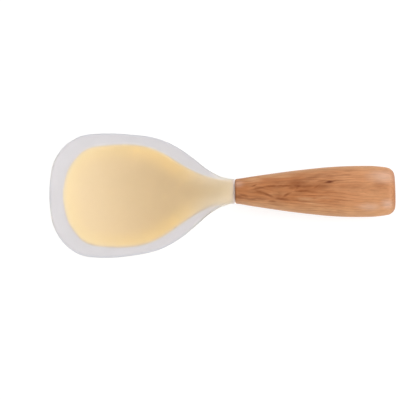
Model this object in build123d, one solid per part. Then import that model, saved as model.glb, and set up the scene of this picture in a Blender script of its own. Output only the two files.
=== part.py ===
from build123d import *

# Rice paddle: a dished blade in frosted clear silicone over a yellow core, on a flared wooden handle.
#
# Frame, in millimetres: +X runs from the blade's tip to the handle's butt, +Y is across the blade and
# +Z is up, out of the hollow that carries the rice. The origin is on the table, under the middle of the
# paddle, which lies on the belly of its blade and on the underside of its handle near the butt.
#
# Pieces, from the inside out: a stamped steel insert whose strap runs on into the handle as its tang, a
# yellow core moulded round the insert, a clear silicone skin moulded over the core with a wide free rim
# and a short collar, the wooden handle, and the cured glue that fills the handle's bore round the tang.

import os
from math import atan2, degrees

# Whole paddle
overall_length = 210.0
blade_length = 112.7
blade_width = 78.4

# Side profile of the blade
rim_thickness = 3.0
bowl_thickness = 5.2
dish_depth = 5.2
tip_lift = 5.8
neck_lift = 5.2

# Neck
neck_width = 14.6
neck_height = 12.4
neck_side_height = 7.0
neck_side_rounding = 1.0
collar_length = 1.3

# Silicone skin over the core, and the free rim beyond the core
skin_thickness = 0.9
core_edge_rounding = 0.7
side_rim_width = 6.5
tip_rim_width = 7.8

# Steel insert
steel_thickness = 1.5
insert_side_margin = 10.0
insert_tip_margin = 14.0
insert_length = 62.0
strap_width = 8.0
strap_fillet = 9.0
tang_length = 52.0
lock_hole_diameter = 5.0
lock_hole_pitch = 13.0
key_hole_diameter = 4.0
key_hole_pitch = 14.0

# Handle
handle_width = 31.8
handle_thickness = 20.0
handle_step = 0.1
butt_rounding = 4.5
front_rounding = 1.1

# Bore for the tang
glue_gap = 0.7
bore_end_gap = 3.0
tang_drop = 3.4

# Places along X and heights that follow from the sizes above
tip_x = -overall_length / 2
collar_x = tip_x + blade_length
core_end_x = collar_x - collar_length
core_tip_x = tip_x + tip_rim_width
insert_tip_x = core_tip_x + insert_tip_margin
handle_length = overall_length - blade_length
core_length = core_end_x - core_tip_x
rim_rounding = rim_thickness / 2
rim_low_height = dish_depth + bowl_thickness - rim_thickness / 2
neck_axis_height = rim_low_height + neck_lift
neck_crown = (neck_height - neck_side_height) / 2
core_width = blade_width - 2 * side_rim_width
core_neck_width = neck_width - 2 * skin_thickness
insert_width = core_width - 2 * insert_side_margin
front_width = neck_width + 2 * handle_step
front_height = neck_height + 2 * handle_step
bore_diameter = strap_width + 2 * glue_gap

# The blade is drawn through upright sections at these shares of its length, close together at its tip
section_shares = (
    0.000, 0.004, 0.014, 0.034, 0.066, 0.110, 0.170, 0.250, 0.350,
    0.460, 0.560, 0.640, 0.710, 0.780, 0.850, 0.910, 0.960, 1.000,
)
# Half widths of the silicone: share of blade_length, share of half blade_width, share of half neck_width
outline_shares = (
    (0.000, 0.105, 0.000),
    (0.004, 0.222, 0.000),
    (0.014, 0.438, 0.000),
    (0.034, 0.591, 0.000),
    (0.066, 0.740, 0.000),
    (0.110, 0.864, 0.000),
    (0.170, 0.960, 0.000),
    (0.250, 0.997, 0.000),
    (0.340, 1.000, 0.000),
    (0.440, 0.969, 0.031),
    (0.542, 0.914, 0.086),
    (0.620, 0.823, 0.177),
    (0.702, 0.660, 0.340),
    (0.782, 0.438, 0.562),
    (0.850, 0.226, 0.774),
    (0.916, 0.076, 0.924),
    (0.960, 0.020, 0.980),
    (1.000, 0.000, 1.000),
)
# Half widths of the core, read in the same way along its own length and widths
core_outline_shares = (
    (0.000, 0.070, 0.000),
    (0.004, 0.155, 0.000),
    (0.014, 0.336, 0.000),
    (0.034, 0.525, 0.000),
    (0.066, 0.690, 0.000),
    (0.110, 0.849, 0.000),
    (0.170, 0.948, 0.000),
    (0.250, 0.984, 0.000),
    (0.330, 1.000, 0.000),
    (0.424, 0.983, 0.017),
    (0.512, 0.903, 0.097),
    (0.606, 0.724, 0.276),
    (0.700, 0.467, 0.533),
    (0.792, 0.242, 0.758),
    (0.880, 0.086, 0.914),
    (0.950, 0.010, 0.990),
    (1.000, 0.000, 1.000),
)
# The round edge of a moulding where its tip faces along X: share of its length, share of its full
# thickness, and how many times its rounding the section's side takes
edge_shares = (
    (0.000, 0.25, 1.2),
    (0.004, 0.70, 3.0),
    (0.014, 0.97, 4.4),
    (0.034, 1.00, 2.6),
    (0.066, 1.00, 1.6),
    (0.110, 1.00, 1.3),
    (0.170, 1.00, 1.1),
    (0.250, 1.00, 1.0),
    (1.000, 1.00, 1.0),
)
# Side profile: share of blade_length, shares of tip_lift and of neck_lift
lift_shares = (
    (0.000, 1.00, 0.00),
    (0.050, 0.62, 0.00),
    (0.130, 0.26, 0.00),
    (0.240, 0.06, 0.00),
    (0.360, 0.00, 0.00),
    (0.480, 0.00, 0.11),
    (0.590, 0.00, 0.28),
    (0.690, 0.00, 0.45),
    (0.780, 0.00, 0.62),
    (0.860, 0.00, 0.78),
    (0.930, 0.00, 0.91),
    (1.000, 0.00, 1.00),
)
# Hollow: share of blade_length, share of dish_depth, share of the thickening from rim to bowl
hollow_shares = (
    (0.000, 0.00, 0.00),
    (0.050, 0.22, 0.26),
    (0.130, 0.62, 0.66),
    (0.240, 0.93, 0.94),
    (0.360, 1.00, 1.00),
    (0.480, 0.96, 1.00),
    (0.590, 0.80, 1.00),
    (0.690, 0.54, 1.00),
    (0.780, 0.26, 1.00),
    (0.860, 0.07, 1.00),
    (0.930, 0.00, 1.00),
    (1.000, 0.00, 1.00),
)
# Neck: share of blade_length, share of the way to the neck's sides and crown, share of the thickening
# from bowl to neck
neck_shares = (
    (0.000, 0.00, 0.00),
    (0.560, 0.00, 0.04),
    (0.690, 0.05, 0.22),
    (0.780, 0.18, 0.44),
    (0.860, 0.45, 0.68),
    (0.930, 0.80, 0.89),
    (1.000, 1.00, 1.00),
)
# Reach of the control points of a section's arches: a parabola in the dish, a round crown at the neck
dish_reach_share = 1 / 3
neck_reach_share = 0.60
# A cubic curve with two level control points rises, or a half round one reaches out, by this share
curve_middle_share = 0.75

# Sections of the handle at shares of its length from the neck: shares of its widening, of its
# thickening, and of the height of the neck's underside over the table
handle_section_shares = (
    (0.00, 0.000, 0.00, 1.00),
    (0.09, 0.152, 0.20, 0.83),
    (0.21, 0.366, 0.45, 0.62),
    (0.34, 0.588, 0.68, 0.41),
    (0.47, 0.772, 0.85, 0.24),
    (0.59, 0.914, 0.96, 0.10),
    (0.72, 0.994, 1.00, 0.025),
    (0.84, 0.999, 1.00, 0.001),
    (0.93, 0.908, 0.97, 0.001),
    (1.00, 0.788, 0.89, 0.008),
)
# Reach of the control points of a quarter of the handle's section: as full as the neck in front, and a
# little fuller than an ellipse in the grip
front_fullness_share = 0.74
grip_fullness_share = 0.60


def upright(x, edges):
    """A face standing across the paddle at x, from edges drawn in y and z."""
    return Plane(origin=(x, 0, 0), x_dir=(0, 1, 0), z_dir=(1, 0, 0)) * make_face(edges)


def slope_at(rows, index, column):
    """The slope of a column of shares at a row: level at the ends and wherever the column stops or turns."""
    if index in (0, len(rows) - 1):
        return 0
    before, here, after = rows[index - 1], rows[index], rows[index + 1]
    rise, next_rise = here[column] - before[column], after[column] - here[column]
    return 0 if rise * next_rise <= 0 else (rise + next_rise) / (after[0] - before[0])


def read_shares(rows, station):
    """The values of a table of shares at a station, on a smooth curve through its rows."""
    near = max(index for index in range(len(rows) - 1) if rows[index][0] <= station or index == 0)
    gap = rows[near + 1][0] - rows[near][0]
    part = (station - rows[near][0]) / gap
    values = []
    for column in range(1, len(rows[0])):
        start, end = rows[near][column], rows[near + 1][column]
        leave = slope_at(rows, near, column) * gap
        arrive = slope_at(rows, near + 1, column) * gap
        through = start * (1 + 2 * part) * (1 - part) ** 2 + end * (3 - 2 * part) * part**2
        values.append(through + leave * part * (1 - part) ** 2 - arrive * part**2 * (1 - part))
    return values


def arch(half_width, rim, centre, reach):
    """A curve from rim height at -half_width over centre height to rim height at half_width."""
    level = rim + (centre - rim) / curve_middle_share
    return Bezier(
        (-half_width, rim),
        (-half_width * reach, level),
        (half_width * reach, level),
        (half_width, rim),
    )


def ring_face(x, half_width, side, reach, top, bottom):
    """A section at x between two arches, each given as its rim and centre heights, with round sides."""
    flat = half_width - side
    upper = arch(flat, *top, reach)
    lower = arch(flat, *bottom, reach)
    out = flat + side / curve_middle_share
    right = Bezier((flat, top[0]), (out, top[0]), (out, bottom[0]), (flat, bottom[0]))
    left = Bezier((-flat, bottom[0]), (-out, bottom[0]), (-out, top[0]), (-flat, top[0]))
    return upright(x, [upper, right, lower, left])


def blade_levels(station):
    """Half the silicone's width at a share of blade_length, its crown's share, and its heights: the rim and
    the centre of its top, and the rim and the centre of its bottom."""
    blade, neck = read_shares(outline_shares, station)
    tip_rise, neck_rise = read_shares(lift_shares, station)
    hollow, bowl_build = read_shares(hollow_shares, station)
    crown, neck_build = read_shares(neck_shares, station)
    middle = rim_low_height + tip_rise * tip_lift + neck_rise * neck_lift
    half_side = (rim_thickness + crown * (neck_side_height - rim_thickness)) / 2
    centre_top = middle + half_side - hollow * dish_depth + crown * neck_crown
    bowl = rim_thickness + bowl_build * (bowl_thickness - rim_thickness)
    thickness = bowl + neck_build * (neck_height - bowl_thickness)
    half_width = (blade * blade_width + neck * neck_width) / 2
    top = (middle + half_side, centre_top)
    bottom = (middle - half_side, centre_top - thickness)
    return half_width, crown, top, bottom


def pinched(top, bottom, share):
    """The heights of a section's top and bottom, drawn together to a share of their distance."""
    pairs = [((high + low) / 2, (high - low) / 2 * share) for high, low in zip(top, bottom)]
    return [middle + half for middle, half in pairs], [middle - half for middle, half in pairs]


def silicone_body():
    """The whole silicone moulding, without the room for what is inside it."""
    faces = []
    for station in section_shares:
        half_width, crown, top, bottom = blade_levels(station)
        edge, stretch = read_shares(edge_shares, station)
        side = stretch * (rim_rounding + crown * (neck_side_rounding - rim_rounding))
        reach = dish_reach_share + crown * (neck_reach_share - dish_reach_share)
        top, bottom = pinched(top, bottom, edge)
        faces.append(ring_face(tip_x + station * blade_length, half_width, side, reach, top, bottom))
    return loft(faces)


def core_body():
    """The whole core, without the room for the insert: it keeps skin_thickness under the silicone."""
    faces = []
    for share in section_shares:
        x = core_tip_x + share * core_length
        outer_half, crown, outer_top, outer_bottom = blade_levels((x - tip_x) / blade_length)
        core, neck = read_shares(core_outline_shares, share)
        edge, stretch = read_shares(edge_shares, share)
        half_width = (core * core_width + neck * core_neck_width) / 2
        rise = 1 - (half_width / outer_half) ** 2
        top = [outer_top[0] + rise * (outer_top[1] - outer_top[0]), outer_top[1]]
        bottom = [outer_bottom[0] + rise * (outer_bottom[1] - outer_bottom[0]), outer_bottom[1]]
        top = [height - skin_thickness for height in top]
        bottom = [height + skin_thickness for height in bottom]
        top, bottom = pinched(top, bottom, edge)
        reach = dish_reach_share + crown * (neck_reach_share - dish_reach_share)
        faces.append(ring_face(x, half_width, stretch * core_edge_rounding, reach, top, bottom))
    return loft(faces)


def steel_slab():
    """A sheet of steel_thickness along the middle of the blade's thickness, from the insert's tip on."""
    faces = []
    first = (insert_tip_x - insert_tip_margin / 2 - tip_x) / blade_length
    for share in section_shares:
        if share < first:
            continue
        half_width, _, top, bottom = blade_levels(share)
        rim, centre = [(high + low) / 2 for high, low in zip(top, bottom)]
        half = steel_thickness / 2
        upper = arch(half_width, rim + half, centre + half, dish_reach_share)
        lower = arch(half_width, rim - half, centre - half, dish_reach_share)
        sides = [Line(lower @ 0, upper @ 0), Line(upper @ 1, lower @ 1)]
        faces.append(upright(tip_x + share * blade_length, [upper, lower, *sides]))
    return loft(faces)


def round_holes(first_x, last_x, pitch, diameter):
    """Upright round cutters in a row along the centre line, pitch apart, centred between two places."""
    count = int((last_x - first_x) / pitch) + 1
    start = (first_x + last_x - (count - 1) * pitch) / 2
    depth = neck_axis_height + neck_height
    return [
        Pos(start + index * pitch, 0, depth / 2) * Cylinder(diameter / 2, depth) for index in range(count)
    ]


def steel_insert():
    """The dished blade of the insert, its strap through the neck, and the tang that goes into the handle."""
    middle = insert_tip_x + insert_length / 2
    strap = Pos((middle + collar_x) / 2, 0) * Rectangle(collar_x - middle, strap_width)
    plan = Pos(middle, 0) * Ellipse(insert_length / 2, insert_width / 2) + strap
    corners = [
        vertex
        for vertex in plan.vertices()
        if middle < vertex.X < collar_x - strap_width and abs(vertex.Y) < strap_width
    ]
    plan = fillet(corners, strap_fillet)
    plate = steel_slab() & extrude(plan, amount=neck_axis_height + neck_height)
    ends = []
    for x, drop in ((collar_x, 0), (collar_x + tang_length, tang_drop)):
        centre = Pos(0, neck_axis_height - drop)
        ends.append(upright(x, (centre * Rectangle(strap_width, steel_thickness)).edges()))
    blank = plate + loft(ends, ruled=True)
    lock_end_x = insert_tip_x + insert_length - lock_hole_pitch
    holes = round_holes(insert_tip_x + lock_hole_pitch, lock_end_x, lock_hole_pitch, lock_hole_diameter)
    key_end_x = collar_x + tang_length - key_hole_pitch / 2
    holes += round_holes(collar_x + key_hole_pitch, key_end_x, key_hole_pitch, key_hole_diameter)
    return blank - holes


def handle_section(shares):
    """An upright oval face across the handle."""
    station, widening, thickening, lift = shares
    half_width = (front_width + widening * (handle_width - front_width)) / 2
    half_height = (front_height + thickening * (handle_thickness - front_height)) / 2
    middle = half_height + lift * (neck_axis_height - front_height / 2)
    fullness = front_fullness_share + widening * (grip_fullness_share - front_fullness_share)
    quarters = []
    for right, up in ((1, 1), (-1, 1), (-1, -1), (1, -1)):
        side = (right * half_width, middle)
        side_reach = (right * half_width, middle + up * half_height * fullness)
        end_reach = (right * half_width * fullness, middle + up * half_height)
        end = (0, middle + up * half_height)
        quarters.append(Bezier(side, side_reach, end_reach, end))
    return upright(collar_x + station * handle_length, quarters)


def handle_body():
    """The flared handle with its rounded butt and its softened front edge, without its bore."""
    solid = loft([handle_section(shares) for shares in handle_section_shares])
    solid = fillet(solid.faces().sort_by(Axis.X)[-1].edges(), butt_rounding)
    return fillet(solid.faces().sort_by(Axis.X)[0].edges(), front_rounding)


def bore_body():
    """What the bore for the tang takes out of the handle, along the sloping line of the tang."""
    depth = tang_length + bore_end_gap
    length = depth + bore_diameter
    slope = degrees(atan2(tang_drop, tang_length))
    line = Pos(collar_x, 0, neck_axis_height) * Rot(0, 90 + slope, 0)
    drill = line * Pos(0, 0, (depth - bore_diameter) / 2) * Cylinder(bore_diameter / 2, length)
    front = Pos(collar_x + length / 2, 0, neck_axis_height) * Box(length, neck_height, 2 * neck_height)
    return drill & front


skin_outer = silicone_body()
core_solid = core_body()
insert = steel_insert()
bore = bore_body()
nodes = {
    "silicone_skin": skin_outer - core_solid - insert,
    "blade_core": core_solid - insert,
    "steel_insert": insert,
    "handle": handle_body() - bore,
    "tang_glue": bore - insert,
}

os.makedirs("parts", exist_ok=True)
for name, solid in nodes.items():
    solid.label = name
    export_step(solid, f"parts/{name}.step")
    print(name, round(solid.volume), solid.bounding_box())
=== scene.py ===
"""Rice paddle: a dished blade in frosted clear silicone over a yellow core, on a flared cherry wood handle.

Everything is in metres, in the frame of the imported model: +X runs from the blade's tip to the handle's butt,
+Y is across the blade and +Z is up, out of the hollow that carries the rice.
"""

import logging
import math
from collections.abc import Callable
from dataclasses import dataclass, field
from enum import Enum
from functools import cached_property
from itertools import pairwise
from typing import Any, ClassVar

import bmesh
import bpy
from mathutils import Matrix, Vector
from mathutils.geometry import interpolate_bezier, intersect_point_line


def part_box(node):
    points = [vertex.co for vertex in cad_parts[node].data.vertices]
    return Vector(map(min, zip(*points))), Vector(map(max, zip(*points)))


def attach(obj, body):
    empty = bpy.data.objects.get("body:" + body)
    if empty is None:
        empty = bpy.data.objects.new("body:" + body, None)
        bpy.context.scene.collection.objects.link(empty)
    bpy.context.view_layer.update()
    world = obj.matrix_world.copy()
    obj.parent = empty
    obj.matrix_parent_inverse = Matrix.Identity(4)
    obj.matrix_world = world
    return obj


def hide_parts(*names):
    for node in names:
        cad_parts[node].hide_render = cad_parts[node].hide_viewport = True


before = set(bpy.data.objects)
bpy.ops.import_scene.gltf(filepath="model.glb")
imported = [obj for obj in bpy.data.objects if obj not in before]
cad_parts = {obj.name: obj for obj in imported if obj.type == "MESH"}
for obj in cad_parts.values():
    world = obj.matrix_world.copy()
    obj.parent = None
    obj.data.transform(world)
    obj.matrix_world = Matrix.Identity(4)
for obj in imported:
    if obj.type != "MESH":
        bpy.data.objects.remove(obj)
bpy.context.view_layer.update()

log = logging.getLogger("rice_paddle")

BODY = "root"

Outline = list[tuple[float, float]]
Rows = tuple[tuple[float, ...], ...]
Colour = tuple[float, float, float, float]
Place = tuple[float, float, float]
Span = tuple[float, float]
Socket = bpy.types.NodeSocket
Input = Socket | float | tuple[float, ...]
Inputs = dict[str | int, Input]


# Shapes as shares of the sizes below

# Half widths of the silicone: share of the blade's length, of half its width, of half the neck's width
OUTLINE_SHARES: Rows = (
    (0.000, 0.105, 0.000),
    (0.004, 0.222, 0.000),
    (0.014, 0.438, 0.000),
    (0.034, 0.591, 0.000),
    (0.066, 0.740, 0.000),
    (0.110, 0.864, 0.000),
    (0.170, 0.960, 0.000),
    (0.250, 0.997, 0.000),
    (0.340, 1.000, 0.000),
    (0.440, 0.969, 0.031),
    (0.542, 0.914, 0.086),
    (0.620, 0.823, 0.177),
    (0.702, 0.660, 0.340),
    (0.782, 0.438, 0.562),
    (0.850, 0.226, 0.774),
    (0.916, 0.076, 0.924),
    (0.960, 0.020, 0.980),
    (1.000, 0.000, 1.000),
)
# Half widths of the core, read in the same way along its own length and widths
CORE_OUTLINE_SHARES: Rows = (
    (0.000, 0.070, 0.000),
    (0.004, 0.155, 0.000),
    (0.014, 0.336, 0.000),
    (0.034, 0.525, 0.000),
    (0.066, 0.690, 0.000),
    (0.110, 0.849, 0.000),
    (0.170, 0.948, 0.000),
    (0.250, 0.984, 0.000),
    (0.330, 1.000, 0.000),
    (0.424, 0.983, 0.017),
    (0.512, 0.903, 0.097),
    (0.606, 0.724, 0.276),
    (0.700, 0.467, 0.533),
    (0.792, 0.242, 0.758),
    (0.880, 0.086, 0.914),
    (0.950, 0.010, 0.990),
    (1.000, 0.000, 1.000),
)
# A moulding's round edge at its tip: share of its length, share of its thickness, stretch of its rounding
EDGE_SHARES: Rows = (
    (0.000, 0.25, 1.2),
    (0.004, 0.70, 3.0),
    (0.014, 0.97, 4.4),
    (0.034, 1.00, 2.6),
    (0.066, 1.00, 1.6),
    (0.110, 1.00, 1.3),
    (0.170, 1.00, 1.1),
    (0.250, 1.00, 1.0),
    (1.000, 1.00, 1.0),
)
# Side profile: share of the blade's length, shares of the tip's lift and of the neck's lift
LIFT_SHARES: Rows = (
    (0.000, 1.00, 0.00),
    (0.050, 0.62, 0.00),
    (0.130, 0.26, 0.00),
    (0.240, 0.06, 0.00),
    (0.360, 0.00, 0.00),
    (0.480, 0.00, 0.11),
    (0.590, 0.00, 0.28),
    (0.690, 0.00, 0.45),
    (0.780, 0.00, 0.62),
    (0.860, 0.00, 0.78),
    (0.930, 0.00, 0.91),
    (1.000, 0.00, 1.00),
)
# Hollow: share of the blade's length, share of the dish's depth, share of the thickening from rim to bowl
HOLLOW_SHARES: Rows = (
    (0.000, 0.00, 0.00),
    (0.050, 0.22, 0.26),
    (0.130, 0.62, 0.66),
    (0.240, 0.93, 0.94),
    (0.360, 1.00, 1.00),
    (0.480, 0.96, 1.00),
    (0.590, 0.80, 1.00),
    (0.690, 0.54, 1.00),
    (0.780, 0.26, 1.00),
    (0.860, 0.07, 1.00),
    (0.930, 0.00, 1.00),
    (1.000, 0.00, 1.00),
)
# Neck: share of the blade's length, share of the way to its crown, share of the thickening into it
NECK_SHARES: Rows = (
    (0.000, 0.00, 0.00),
    (0.560, 0.00, 0.04),
    (0.690, 0.05, 0.22),
    (0.780, 0.18, 0.44),
    (0.860, 0.45, 0.68),
    (0.930, 0.80, 0.89),
    (1.000, 1.00, 1.00),
)
# Handle: share of its length, shares of its widening, of its thickening and of its lift over the table
HANDLE_SHARES: Rows = (
    (0.00, 0.000, 0.00, 1.00),
    (0.09, 0.152, 0.20, 0.83),
    (0.21, 0.366, 0.45, 0.62),
    (0.34, 0.588, 0.68, 0.41),
    (0.47, 0.772, 0.85, 0.24),
    (0.59, 0.914, 0.96, 0.10),
    (0.72, 0.994, 1.00, 0.025),
    (0.84, 0.999, 1.00, 0.001),
    (0.93, 0.908, 0.97, 0.001),
    (1.00, 0.788, 0.89, 0.008),
)


def slope_at(rows: Rows, index: int, column: int) -> float:
    """The slope of a column of shares at a row, level at the ends and wherever the column stops or turns.

    Args:
        rows: The table, with its stations in the first column.
        index: The row.
        column: The column.

    Returns:
        The slope per unit of station.
    """
    if index in (0, len(rows) - 1):
        return 0.0
    before, here, after = rows[index - 1], rows[index], rows[index + 1]
    rise, next_rise = here[column] - before[column], after[column] - here[column]
    return 0.0 if rise * next_rise <= 0 else (rise + next_rise) / (after[0] - before[0])


def read_shares(rows: Rows, station: float) -> list[float]:
    """Reads a table of shares on a smooth curve through its rows.

    Args:
        rows: The table, with its stations in the first column.
        station: Where to read it, from 0 to 1.

    Returns:
        The value of each further column.
    """
    near = max(index for index in range(len(rows) - 1) if rows[index][0] <= station or index == 0)
    gap = rows[near + 1][0] - rows[near][0]
    part = (station - rows[near][0]) / gap
    values = []
    for column in range(1, len(rows[0])):
        start, end = rows[near][column], rows[near + 1][column]
        leave = slope_at(rows, near, column) * gap
        arrive = slope_at(rows, near + 1, column) * gap
        through = start * (1 + 2 * part) * (1 - part) ** 2 + end * (3 - 2 * part) * part**2
        values.append(through + leave * part * (1 - part) ** 2 - arrive * part**2 * (1 - part))
    return values


def between(start: float, end: float, share: float) -> float:
    """The value at a share of the way from start to end."""
    return start + share * (end - start)


def smooth_step(low: float, high: float, value: float) -> float:
    """0 below low and 1 above high, with a smooth rise between them."""
    part = min(max((value - low) / (high - low), 0.0), 1.0)
    return part * part * (3 - 2 * part)


def stations(rows: Rows, steps: int) -> list[float]:
    """The stations of a table, with each gap between two of them divided into equal steps."""
    places = [between(low[0], high[0], step / steps) for low, high in pairwise(rows) for step in range(steps)]
    return [*places, rows[-1][0]]


def curve_points(corners: Outline, steps: int) -> Outline:
    """Points along a cubic curve given by its ends and its two control points, without its last point.

    Args:
        corners: The start, the two control points and the end.
        steps: How many steps divide the curve.

    Returns:
        One point for each step.
    """
    points = interpolate_bezier(*[Vector(corner) for corner in corners], steps + 1)
    return [(point.x, point.y) for point in points[:-1]]


@dataclass
class RingLoft:
    """Skins upright rings, from the tip end to the butt end, into one closed mesh."""

    name: str
    levels: int = 1
    bm: bmesh.types.BMesh = field(default_factory=bmesh.new)
    loops: list[list[bmesh.types.BMEdge]] = field(default_factory=list)

    def add_ring(self, x: float, outline: Outline) -> None:
        """Stands one ring across the paddle.

        Args:
            x: The ring's place along the paddle.
            outline: Its points in y and z, as many in every ring.
        """
        made = bmesh.ops.create_circle(self.bm, cap_ends=False, segments=len(outline), radius=1.0)
        for vert, (y, z) in zip(made["verts"], outline):
            vert.co = (x, y, z)
        edges = [edge for vert in made["verts"] for edge in vert.link_edges]
        self.loops.append(list(dict.fromkeys(edges)))

    def finish(self) -> bpy.types.Object:
        """Bridges the rings, closes both ends and subdivides the surface as often as its levels say.

        Returns:
            The piece.
        """
        for near, far in pairwise(self.loops):
            bmesh.ops.bridge_loops(self.bm, edges=near + far)
        for loop in (self.loops[0], self.loops[-1]):
            cap = bmesh.ops.edgeloop_fill(self.bm, edges=loop)["faces"]
            bmesh.ops.poke(self.bm, faces=cap)
        bmesh.ops.recalc_face_normals(self.bm, faces=self.bm.faces)
        mesh = bpy.data.meshes.new(self.name)
        self.bm.to_mesh(mesh)
        self.bm.free()
        mesh.shade_smooth()
        piece = bpy.data.objects.new(self.name, mesh)
        bpy.context.scene.collection.objects.link(piece)
        surface = piece.modifiers.new("surface", "SUBSURF")
        surface.levels = self.levels
        surface.render_levels = self.levels
        return piece


# Nodes


# The colour sockets of a Mix node by number, because their names repeat
MIX_FIRST, MIX_SECOND, MIX_RESULT = 6, 7, 2


@dataclass
class NodeBench:
    """Adds and joins the nodes of one material, world or node group."""

    tree: bpy.types.NodeTree

    def add(self, kind: str, inputs: Inputs | None = None, **settings: Any) -> bpy.types.Node:
        """Adds a node.

        Args:
            kind: The node's type.
            inputs: What its sockets get, by name or by number: another socket or a value of their own.
            settings: Its own settings.

        Returns:
            The node.
        """
        node = self.tree.nodes.new(kind)
        for name, value in settings.items():
            setattr(node, name, value)
        for name, value in (inputs or {}).items():
            if isinstance(value, Socket):
                self.tree.links.new(value, node.inputs[name])
            else:
                node.inputs[name].default_value = value
        return node

    def place(self) -> Socket:
        """The place on the piece, in its own frame."""
        return self.add("ShaderNodeTexCoord").outputs["Object"]

    def along(self, place: Socket) -> Socket:
        """How far along the paddle a place is."""
        return self.add("ShaderNodeSeparateXYZ", {"Vector": place}).outputs["X"]

    def attribute(self, name: str) -> Socket:
        """A value that is stored on the piece's points."""
        return self.add("ShaderNodeAttribute", attribute_name=name).outputs["Fac"]

    def math(self, operation: str, first: Input, second: Input = 0.0) -> Socket:
        """The result of one sum on values or sockets."""
        return self.add("ShaderNodeMath", {0: first, 1: second}, operation=operation).outputs["Value"]

    def vector(self, operation: str, first: Input, second: Input = (0.0, 0.0, 0.0)) -> Socket:
        """The place that one sum on places gives."""
        return self.add("ShaderNodeVectorMath", {0: first, 1: second}, operation=operation).outputs["Vector"]

    def length(self, place: Socket) -> Socket:
        """How far a place is from the origin."""
        return self.add("ShaderNodeVectorMath", {0: place}, operation="LENGTH").outputs["Value"]

    def seen_from(self, where: Socket, centre: Place, turn: Place, reach: Place = (1.0, 1.0, 1.0)) -> Socket:
        """A place in a frame of its own.

        Args:
            where: The place.
            centre: The frame's origin.
            turn: How the frame is turned.
            reach: How long its three units are.

        Returns:
            The place's socket.
        """
        sockets = {"Vector": where, "Location": centre, "Rotation": turn, "Scale": reach}
        return self.add("ShaderNodeMapping", sockets, vector_type="TEXTURE").outputs["Vector"]

    def grey_ramp(self, value: Socket, stops: Rows) -> Socket:
        """A grey read from a ramp.

        Args:
            value: Where to read it, from 0 to 1.
            stops: The places and greys of the ramp, in order.

        Returns:
            The grey's socket.
        """
        node = self.add("ShaderNodeValToRGB", {"Fac": value})
        elements = node.color_ramp.elements
        ends = [elements[0], elements[1]]
        for element, (place, grey) in zip(ends, (stops[0], stops[-1])):
            element.position = place
            element.color = (grey, grey, grey, 1.0)
        for place, grey in stops[1:-1]:
            elements.new(place).color = (grey, grey, grey, 1.0)
        return node.outputs["Color"]

    def blend(self, share: Input, first: Input, second: Input, mode: str = "MIX") -> Socket:
        """The mix of two colours by a share, from 0 for the first to 1 for the second."""
        sockets = {"Factor": share, MIX_FIRST: first, MIX_SECOND: second}
        return self.add("ShaderNodeMix", sockets, data_type="RGBA", blend_type=mode).outputs[MIX_RESULT]

    def shade(self, colour: Input, value: Socket) -> Socket:
        """A colour made darker or lighter by a value, which leaves it as it is where it is 1."""
        return self.blend(1.0, colour, value, "MULTIPLY")

    def spread(self, value: Socket, low: float, high: float, start: float = 0.0, end: float = 1.0) -> Socket:
        """Draws a range of values out smoothly to another.

        Args:
            value: The value.
            low: Where its range starts.
            high: Where its range ends.
            start: What it becomes at low and before it.
            end: What it becomes at high and past it.

        Returns:
            The new value's socket.
        """
        sockets = {"Value": value, "From Min": low, "From Max": high, "To Min": start, "To Max": end}
        return self.add("ShaderNodeMapRange", sockets, interpolation_type="SMOOTHSTEP").outputs["Result"]


def clear_nodes(owner: bpy.types.Material | bpy.types.World) -> NodeBench:
    """Empties a material or a world.

    Args:
        owner: The material or the world.

    Returns:
        Its nodes, of which there are none yet.
    """
    owner.use_nodes = True
    owner.node_tree.nodes.clear()
    return NodeBench(owner.node_tree)


# The specks' noise: its detail, its roughness and the range that most of it lies in
SPECK_DETAIL = 3.0
SPECK_ROUGHNESS = 0.6
SPECK_RANGE = (0.3, 0.7)


@dataclass(frozen=True)
class Specks:
    """The fine uneven surface of every finish: one node group, placed with a size and a range of its own."""

    size: float
    stretch: float = 1.0
    low: float = 0.0
    high: float = 1.0
    group_name: ClassVar[str] = "fine specks"

    @classmethod
    def group(cls) -> bpy.types.NodeTree:
        """The node group, made the first time it is asked for.

        Returns:
            The group, with the place, the size across the paddle, how many times longer the specks are along
            it, and the least and the greatest value as its inputs.
        """
        if cls.group_name in bpy.data.node_groups:
            return bpy.data.node_groups[cls.group_name]
        tree = bpy.data.node_groups.new(cls.group_name, "ShaderNodeTree")
        tree.interface.new_socket("Place", in_out="INPUT", socket_type="NodeSocketVector")
        for title in ("Size", "Stretch", "Low", "High"):
            tree.interface.new_socket(title, in_out="INPUT", socket_type="NodeSocketFloat")
        tree.interface.new_socket("Value", in_out="OUTPUT", socket_type="NodeSocketFloat")
        bench = NodeBench(tree)
        given = bench.add("NodeGroupInput").outputs
        along = bench.math("DIVIDE", 1.0, given["Stretch"])
        scale = bench.add("ShaderNodeCombineXYZ", {"X": along, "Y": 1.0, "Z": 1.0}).outputs["Vector"]
        noise = bench.add(
            "ShaderNodeTexNoise",
            {
                "Vector": bench.vector("MULTIPLY", given["Place"], scale),
                "Scale": bench.math("DIVIDE", 1.0, given["Size"]),
                "Detail": SPECK_DETAIL,
                "Roughness": SPECK_ROUGHNESS,
            },
        )
        value = {"Value": noise.outputs["Fac"], "From Min": SPECK_RANGE[0], "From Max": SPECK_RANGE[1]}
        ranged = bench.add("ShaderNodeMapRange", {**value, "To Min": given["Low"], "To Max": given["High"]})
        bench.add("NodeGroupOutput", {"Value": ranged.outputs["Result"]})
        return tree

    def on(self, bench: NodeBench, where: Socket | None = None) -> Socket:
        """Puts the specks into a material.

        Args:
            bench: The material's nodes.
            where: The place that they are read at, which is the place on the piece if none is given.

        Returns:
            Their value's socket.
        """
        values = {"Size": self.size, "Stretch": self.stretch, "Low": self.low, "High": self.high}
        sockets = {"Place": where or bench.place(), **values}
        return bench.add("ShaderNodeGroup", sockets, node_tree=self.group()).outputs["Value"]


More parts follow.
